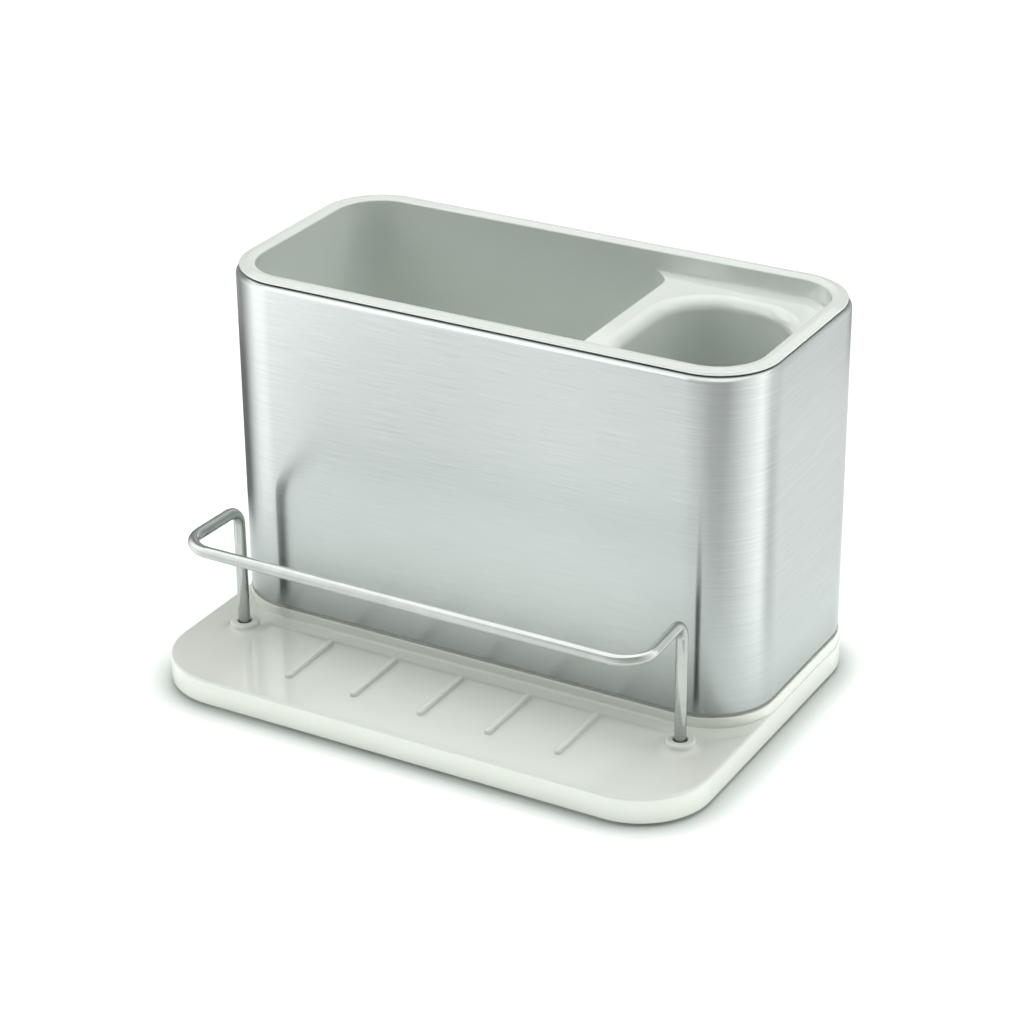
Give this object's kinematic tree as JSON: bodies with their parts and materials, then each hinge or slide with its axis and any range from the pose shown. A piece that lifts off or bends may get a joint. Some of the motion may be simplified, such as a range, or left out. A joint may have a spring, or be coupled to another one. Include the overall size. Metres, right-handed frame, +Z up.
{
  "type": "sink caddy",
  "caption": "Countertop sink caddy: steel sleeve with a lift-out insert holding a long compartment and a brush well, on a ridged drip tray with a wire rail.",
  "frame": {"origin": "on the surface that the feet stand on, under the middle of the tray", "axes": "+X along the tray's long side towards the brush well, +Y from the drip shelf towards the sleeve, +Z up"},
  "size_m": [0.2018, 0.1442, 0.1356],
  "materials": {
    "tray_plastic": "glossy off-white ABS",
    "foot_rubber": "matt grey non-slip rubber",
    "rail_wire": "polished stainless wire",
    "sleeve_sheet": "stainless sheet, fine horizontal brushing",
    "insert_plastic": "satin off-white ABS"
  },
  "bodies": {
    "base": {"base_tray": "tray_plastic", "foot_front_left": "foot_rubber", "foot_front_right": "foot_rubber", "foot_back_left": "foot_rubber", "foot_back_right": "foot_rubber"},
    "rail": {"wire_rail": "rail_wire"},
    "sleeve": {"steel_sleeve": "sleeve_sheet"},
    "insert": {"caddy_insert": "insert_plastic"}
  },
  "joints": [
    {"name": "rail_lift", "type": "slide", "parent": "base", "child": "rail", "axis": [0, 0, 1], "range_m": [0, 0.02]},
    {"name": "sleeve_lift", "type": "slide", "parent": "base", "child": "sleeve", "axis": [0, 0, 1], "range_m": [0, 0.03]},
    {"name": "insert_lift", "type": "slide", "parent": "sleeve", "child": "insert", "axis": [0, 0, 1], "range_m": [0, 0.125]}
  ]
}
